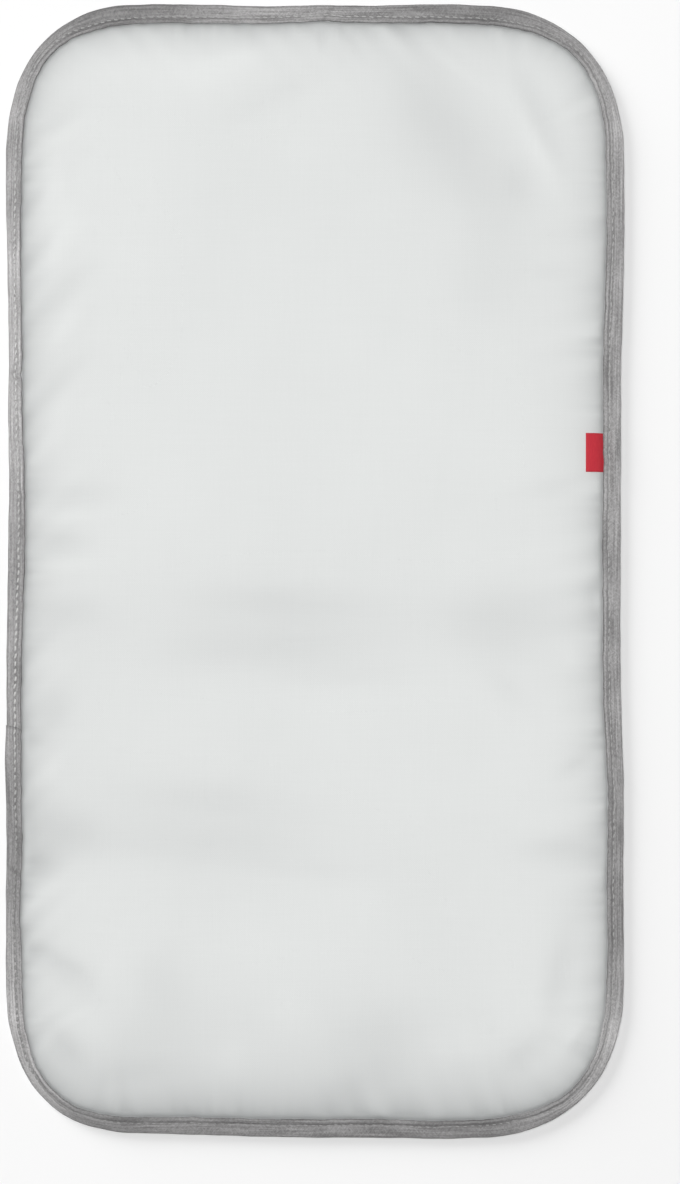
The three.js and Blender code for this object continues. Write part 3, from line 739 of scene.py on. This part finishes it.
def spunThread():
    # spun polyester sewing thread: two plies twisted together, drawn as slanting light and dark turns, painted shade
    # between the plies
    material, tree, shader = newMaterial("spun polyester thread", .7, Specular_IOR_Level=.5)
    place = addNode(tree, "UVMap", {}, uv_map="alongAcross").outputs[0]
    slant = addNode(tree, "VectorMath", {0: place, 1: (2 * np.pi / .7, 2 * np.pi / .9, 0)}, operation="DOT_PRODUCT")
    twist = addNode(tree, "Math", {0: slant.outputs["Value"]}, operation="SINE")
    ramp = addNode(tree, "MapRange", {"Value": twist.outputs[0], "From Min": -1.0, "From Max": 1.0})
    tree.links.new(withPaintedLight(tree, mixColours(tree, ramp.outputs[0], "848483", "949493")), shader.inputs["Base Color"])
    return material


def wovenRibbon():
    # woven polyester label ribbon: fine ribs and faint streaks along its width, and a little shine
    material, tree, shader = newMaterial("woven ribbon", .6, Specular_IOR_Level=.2)
    place = addNode(tree, "UVMap", {}, uv_map="alongAcross").outputs[0]
    axes = addNode(tree, "SeparateXYZ", {0: place})
    ribTurns = addNode(tree, "Math", {0: axes.outputs["Y"], 1: 2 * np.pi / .8}, operation="MULTIPLY")
    ribs = addNode(tree, "Math", {0: ribTurns.outputs[0]}, operation="SINE")
    stretch = addNode(tree, "VectorMath", {0: place, 1: (.25, 2.5, 1)}, operation="MULTIPLY")
    streaks = addNode(tree, "TexNoise", {"Vector": stretch.outputs[0], "Scale": 1.0, "Detail": 2.0})
    tree.links.new(mixColours(tree, streaks.outputs[0], "b4283b", "d33d44"), shader.inputs["Base Color"])
    addBump(tree, shader, ribs, .2, .0001)
    return material


def bondedWadding():
    # bonded polyester wadding: white, matt, loose fibres that scatter the light
    material, tree, shader = newMaterial("bonded fibre wadding", 1.0, Specular_IOR_Level=.1, Sheen_Weight=.2)
    place = addNode(tree, "TexCoord", {}).outputs["Object"]
    fibres = addNode(tree, "TexNoise", {"Vector": place, "Scale": 220.0, "Detail": 5.0, "Distortion": 1.5})
    tree.links.new(mixColours(tree, fibres.outputs[0], "e4e4df", "f6f6f2"), shader.inputs["Base Color"])
    addBump(tree, shader, fibres, .5, .0006)
    return material


face.data.materials.append(wovenCotton("plain-woven white cotton", "e8eae9", "e3e5e4"))
back.data.materials.append(wovenCotton("plain-woven backing cotton", "e4e6e5", "dfe1e0"))
wadding.data.materials.append(bondedWadding())
binding.data.materials.append(biasTape())
thread = spunThread()
needleRow.data.materials.append(thread)
bobbinRow.data.materials.append(thread)
ribbon.data.materials.append(wovenRibbon())
print("materials made")

for piece, node, slot in ((face, "face_cloth", "cotton_face"), (back, "back_cloth", "cotton_back"),
                          (wadding, "wadding", "wadding"), (binding, "edge_binding", "binding_tape"),
                          (needleRow, "needle_thread", "thread"), (bobbinRow, "bobbin_thread", "thread")):
    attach(piece, "pad")
    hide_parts(node)
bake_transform(ribbon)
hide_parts("label_tail", "label_flap")
print("pieces joined to their bodies")

studio = dict(
    middle=(0.01657, -0.01328), level=0.004,    # where the camera looks
    frameLength=0.76437, distance=2.4,          # how much it takes in, and from how far
    key=dict(place=(-0.45, 0.45, 6.0), aim=(0, 0), size=2.0, power=342.0, spread=180),
    # two small lamps that light only the tape and its thread, and a low one that lights only the table, for a soft
    # shadow
    trimLeft=dict(place=(-0.35, 0.15, 0.3), aim=(-0.35, 0.151), size=0.15, power=0.92, spread=120),
    trimRight=dict(place=(0.6, 0.25, 0.5), aim=(0.19, 0), size=0.2, power=2.0, spread=180),
    low=dict(place=(-7.2, 6.0, 3.6), aim=(0, 0), size=6.5, power=1000.0, spread=180),
    world=0.08,
    tableRadius=1500.0, tableLevel=-0.05,   # in millimetres, just under the cloth
    tableGrey=0.727, fade=(0.6, 1.4))       # its paint, and where it fades to white, in metres from the middle


def seenDirectly(tree):
    # 1 for what the camera sees, also in a reflection or through glass, and 0 for light that falls on the object
    ray = addNode(tree, "LightPath", {})
    seen = ray.outputs["Is Camera Ray"]
    for kind in ("Is Glossy Ray", "Is Transmission Ray"):
        seen = addNode(tree, "Math", {0: seen, 1: ray.outputs[kind]}, operation="MAXIMUM").outputs[0]
    return seen


def whiteTable():
    # matt white paint, which fades to the white background well away from the cloth
    material, tree, shader = newMaterial("matt white painted table", .9, Specular_IOR_Level=.1)
    shader.inputs["Base Color"].default_value = (*(studio["tableGrey"],) * 3, 1)
    place = addNode(tree, "TexCoord", {}).outputs["Object"]
    away = addNode(tree, "VectorMath", {0: place}, operation="LENGTH").outputs["Value"]
    fade = addNode(tree, "MapRange", {"Value": away, "From Min": studio["fade"][0], "From Max": studio["fade"][1]},
                   interpolation_type="SMOOTHSTEP")
    share = addNode(tree, "Math", {0: fade.outputs[0], 1: seenDirectly(tree)}, operation="MULTIPLY")
    white = addNode(tree, "Emission", {"Color": (1, 1, 1, 1), "Strength": 1.0})
    mixed = addNode(tree, "MixShader", {0: share.outputs[0], 1: shader.outputs[0], 2: white.outputs[0]})
    tree.links.new(mixed.outputs[0], tree.nodes["Material Output"].inputs["Surface"])
    return material


def makeStudio():
    turn = np.linspace(0, 2 * np.pi, 96, endpoint=False)
    radius, level = studio["tableRadius"], studio["tableLevel"]
    rim = np.stack([radius * np.cos(turn), radius * np.sin(turn), level + 0 * turn], -1)
    floor = makePiece("table", rim, [list(range(len(rim)))])
    floor.data.materials.append(whiteTable())
    trim = (binding, needleRow, bobbinRow)
    for name, lit in (("key", ()), ("trimLeft", trim), ("trimRight", trim), ("low", (floor,))):
        values = studio[name]
        lamp = bpy.data.lights.new(name, "AREA")
        lamp.shape, lamp.size, lamp.energy = "DISK", values["size"], values["power"]
        lamp.spread = np.radians(values["spread"])
        holder = bpy.data.objects.new(name, lamp)
        holder.location = values["place"]
        holder.rotation_euler = (Vector((*values["aim"], 0)) - holder.location).to_track_quat("-Z", "Y").to_euler()
        if lit:
            holder.light_linking.receiver_collection = bpy.data.collections.new("lit by " + name)
        for piece in lit:
            holder.light_linking.receiver_collection.objects.link(piece)
        bpy.context.collection.objects.link(holder)
    world = bpy.data.worlds.new("studio")
    world.use_nodes = True
    bpy.context.scene.world = world
    tree = world.node_tree
    strength = addNode(tree, "MapRange", {"Value": seenDirectly(tree), "To Min": studio["world"], "To Max": 1.0})
    tree.links.new(strength.outputs[0], tree.nodes["Background"].inputs["Strength"])
    tree.nodes["Background"].inputs["Color"].default_value = (1, 1, 1, 1)
    camera = bpy.data.cameras.new("camera")
    camera.sensor_width = 36
    camera.lens = camera.sensor_width * studio["distance"] / studio["frameLength"]
    eye = bpy.data.objects.new("camera", camera)
    eye.location = (*studio["middle"], studio["distance"] + studio["level"])
    bpy.context.collection.objects.link(eye)
    bpy.context.scene.camera = eye
    bpy.context.scene.view_settings.view_transform = "Standard"


makeStudio()
bpy.context.view_layer.update()
print("studio made")
